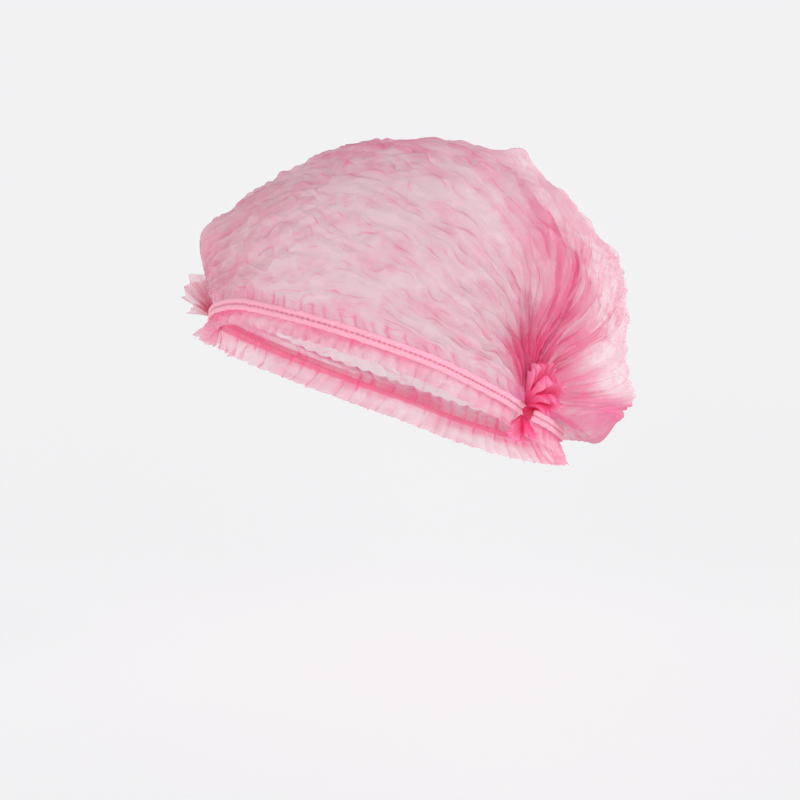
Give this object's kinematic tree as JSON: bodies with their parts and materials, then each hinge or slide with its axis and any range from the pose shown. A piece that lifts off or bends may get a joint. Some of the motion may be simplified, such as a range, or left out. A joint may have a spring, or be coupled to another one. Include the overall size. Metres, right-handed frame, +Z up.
{
  "type": "disposable cap",
  "caption": "Disposable pleated non-woven cap with a gathered frill, a double elastic band and welded pleated ends, kept in its worn form.",
  "frame": {"origin": "the point under the top of the crown where the cap rests on the wearer's head", "axes": "+Z up, -Y towards the wearer's face, +X towards the wearer's left ear"},
  "size_m": [0.192, 0.2358, 0.1865],
  "materials": {
    "crown_cloth": "thin spunbond polypropylene, pink, creased and see-through",
    "frill_cloth": "thin spunbond polypropylene, pink, gathered",
    "elastic": "two covered elastic strands with a stitched valley between them, light pink",
    "welded_pleats": "many layers of pink spunbond polypropylene, pleated and welded"
  },
  "bodies": {
    "root": {"crown": "crown_cloth", "front_frill": "frill_cloth", "back_frill": "frill_cloth", "front_elastic": "elastic", "back_elastic": "elastic", "left_welded_end": "welded_pleats", "right_welded_end": "welded_pleats"}
  },
  "joints": []
}
